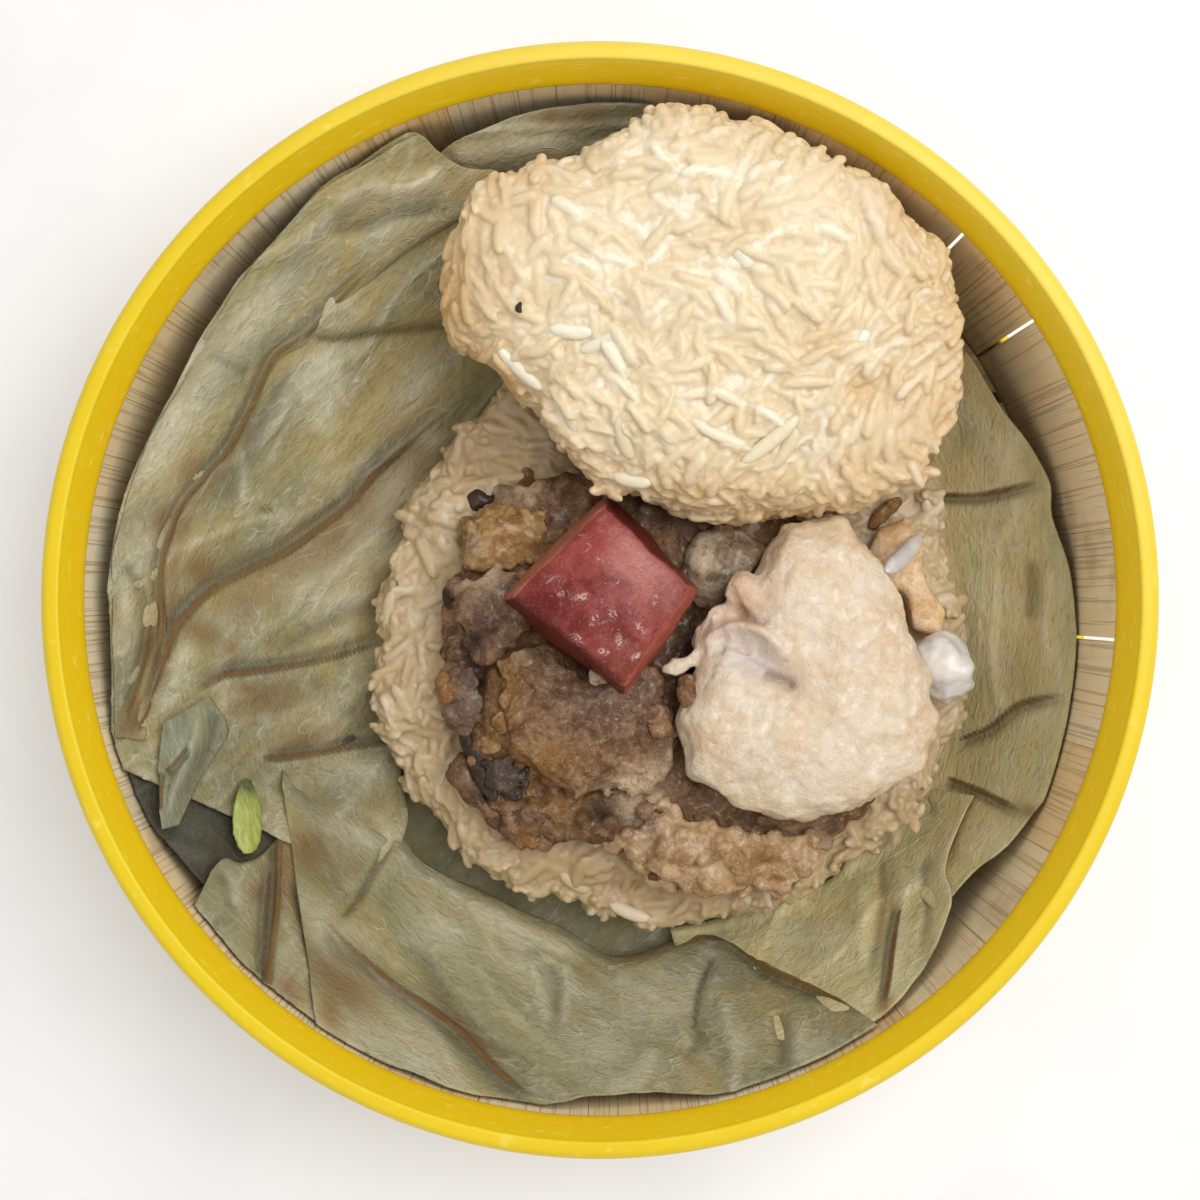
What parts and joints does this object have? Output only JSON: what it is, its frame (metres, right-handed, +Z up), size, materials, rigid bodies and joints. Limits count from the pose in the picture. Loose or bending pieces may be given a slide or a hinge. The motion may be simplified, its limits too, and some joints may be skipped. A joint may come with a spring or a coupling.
{
  "type": "chicken glutinous rice in a steamer basket",
  "caption": "Opened leaf parcel of sticky rice with chicken, cured sausage and braised filling, in a round bamboo steamer basket with a yellow rim.",
  "frame": {"origin": "on the table, under the middle of the basket", "axes": "+Z up, +X to the right and +Y to the top of the picture, which looks straight down"},
  "size_m": [0.18, 0.18, 0.0652],
  "materials": {
    "rim_yellow": "smooth golden yellow, satin gloss, duller on its inner edge",
    "bamboo": "upright strips with fine brown grain, darkened along the seams",
    "leaf": "steamed leaf, dull olive tan with brown veins and fine wrinkles",
    "leaf_stalk": "green stalk end, soft satin",
    "rice": "sticky cooked grains, translucent cream to amber",
    "filling": "glazed minced meat, brown and grey with tan lumps",
    "mushroom": "dark wet slices with brown edges",
    "fat": "translucent taupe fat, wet",
    "chicken": "cream skin with tan mottling and fine bumps",
    "knuckle": "white gristle, wet",
    "sausage": "cured red dice with pale fat marks, satin"
  },
  "bodies": {
    "root": {"basket_rim": "rim_yellow", "basket_foot": "rim_yellow", "basket_floor": "bamboo", "wall_stave_01": "bamboo", "wall_stave_02": "bamboo", "wall_stave_03": "bamboo", "wall_stave_04": "bamboo", "wall_stave_05": "bamboo", "wall_stave_06": "bamboo", "wall_stave_07": "bamboo", "wall_stave_08": "bamboo", "wall_stave_09": "bamboo", "wall_stave_10": "bamboo", "wall_stave_11": "bamboo", "wall_stave_12": "bamboo", "wall_stave_13": "bamboo", "wall_stave_14": "bamboo", "wall_stave_15": "bamboo", "wall_stave_16": "bamboo", "wall_stave_17": "bamboo", "wall_stave_18": "bamboo", "wall_stave_19": "bamboo", "wall_stave_20": "bamboo", "wall_stave_21": "bamboo", "wall_stave_22": "bamboo", "wall_stave_23": "bamboo", "wall_stave_24": "bamboo", "wall_stave_25": "bamboo", "wall_stave_26": "bamboo", "wall_stave_27": "bamboo", "wall_stave_28": "bamboo", "wall_stave_29": "bamboo", "leaf_bed": "leaf", "leaf_left": "leaf", "leaf_left_edge": "leaf", "leaf_top": "leaf", "leaf_corner": "leaf", "leaf_lower_left": "leaf", "leaf_bottom": "leaf", "leaf_pocket": "leaf", "leaf_right": "leaf", "leaf_scrap": "leaf", "leaf_stub": "leaf_stalk", "rice_base": "rice", "rice_top": "rice", "filling_heap": "filling", "mince_right": "filling", "meat_left": "filling", "meat_centre": "filling", "meat_front": "filling", "tan_strip": "filling", "mushroom_slice": "mushroom", "mushroom_edge": "mushroom", "mushroom_strip": "mushroom", "fat_piece": "fat", "fat_round": "fat", "chicken_wing": "chicken", "wing_knuckle": "knuckle", "sausage_cube": "sausage"}
  },
  "joints": []
}
